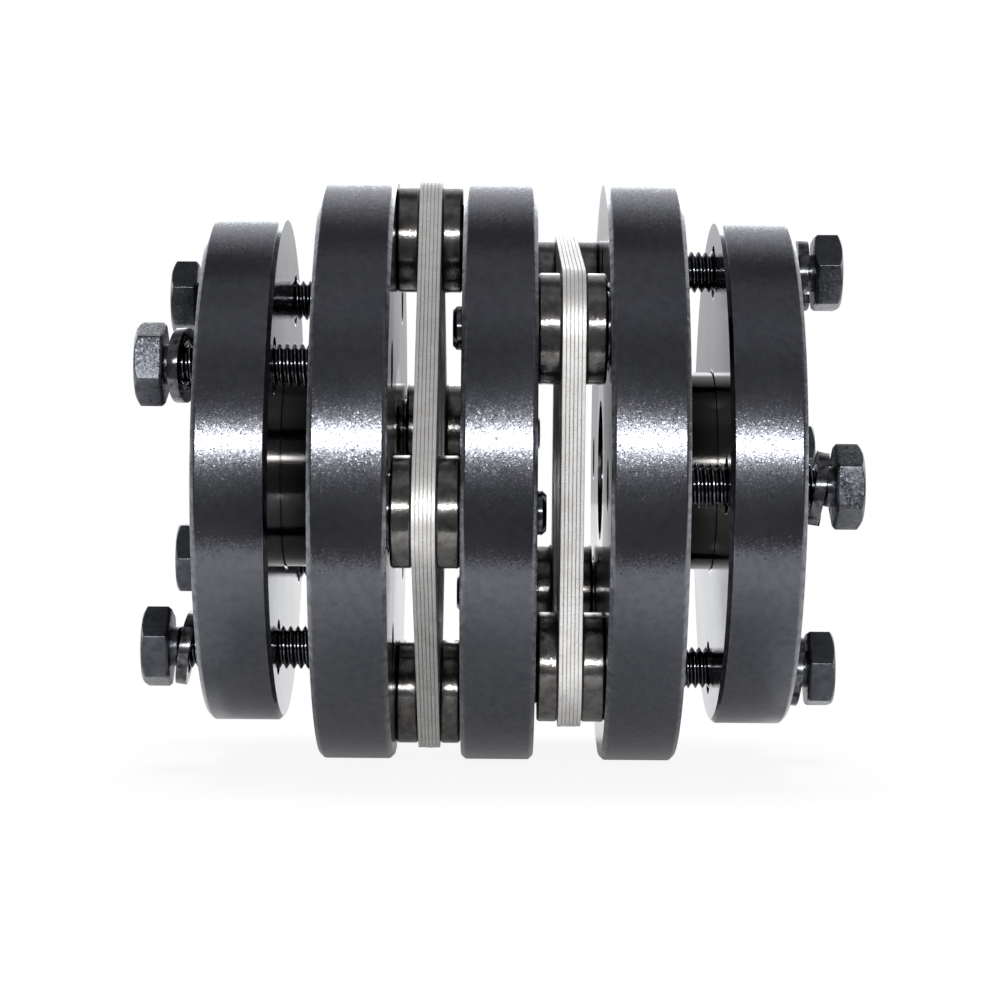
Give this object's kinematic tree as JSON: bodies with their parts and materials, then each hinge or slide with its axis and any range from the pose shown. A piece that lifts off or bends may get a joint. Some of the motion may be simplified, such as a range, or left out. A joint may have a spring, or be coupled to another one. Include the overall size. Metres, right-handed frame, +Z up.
{
  "type": "disc coupling",
  "caption": "Double disc-pack shaft coupling: two flanged clamping hubs with tapered rings, a centre spacer, laminated disc packs on collars, and loosened hexagon clamp bolts.",
  "frame": {"origin": "centre of the coupling, in the middle of the centre spacer on the shaft axis", "axes": "+X along the shaft axis, +Z up, -Y towards the front"},
  "size_m": [0.0965, 0.082, 0.082],
  "materials": {
    "turned_steel": "black-oxide finish on turned steel",
    "collar_steel": "polished, hardened and blackened",
    "bolt_steel": "matt black-oxide, as rolled",
    "washer_steel": "matt black spring steel",
    "spring_sheet": "bright cold-rolled stainless spring sheet"
  },
  "bodies": {
    "root": {"centre_spacer": "turned_steel", "hub_left": "turned_steel", "clamp_ring_left": "turned_steel", "disc_sheet_left_1": "spring_sheet", "disc_sheet_left_2": "spring_sheet", "disc_sheet_left_3": "spring_sheet", "disc_sheet_left_4": "spring_sheet", "disc_sheet_left_5": "spring_sheet", "disc_sheet_left_6": "spring_sheet", "clamp_bolt_left_1": "bolt_steel", "spring_washer_left_1": "washer_steel", "disc_screw_left_1": "bolt_steel", "seat_collar_left_1": "collar_steel", "free_collar_left_1": "collar_steel", "clamp_bolt_left_2": "bolt_steel", "spring_washer_left_2": "washer_steel", "disc_screw_left_2": "bolt_steel", "seat_collar_left_2": "collar_steel", "free_collar_left_2": "collar_steel", "clamp_bolt_left_3": "bolt_steel", "spring_washer_left_3": "washer_steel", "disc_screw_left_3": "bolt_steel", "seat_collar_left_3": "collar_steel", "free_collar_left_3": "collar_steel", "clamp_bolt_left_4": "bolt_steel", "spring_washer_left_4": "washer_steel", "disc_screw_left_4": "bolt_steel", "seat_collar_left_4": "collar_steel", "free_collar_left_4": "collar_steel", "hub_right": "turned_steel", "clamp_ring_right": "turned_steel", "disc_sheet_right_1": "spring_sheet", "disc_sheet_right_2": "spring_sheet", "disc_sheet_right_3": "spring_sheet", "disc_sheet_right_4": "spring_sheet", "disc_sheet_right_5": "spring_sheet", "disc_sheet_right_6": "spring_sheet", "clamp_bolt_right_1": "bolt_steel", "spring_washer_right_1": "washer_steel", "disc_screw_right_1": "bolt_steel", "seat_collar_right_1": "collar_steel", "free_collar_right_1": "collar_steel", "clamp_bolt_right_2": "bolt_steel", "spring_washer_right_2": "washer_steel", "disc_screw_right_2": "bolt_steel", "seat_collar_right_2": "collar_steel", "free_collar_right_2": "collar_steel", "clamp_bolt_right_3": "bolt_steel", "spring_washer_right_3": "washer_steel", "disc_screw_right_3": "bolt_steel", "seat_collar_right_3": "collar_steel", "free_collar_right_3": "collar_steel", "clamp_bolt_right_4": "bolt_steel", "spring_washer_right_4": "washer_steel", "disc_screw_right_4": "bolt_steel", "seat_collar_right_4": "collar_steel", "free_collar_right_4": "collar_steel"}
  },
  "joints": []
}
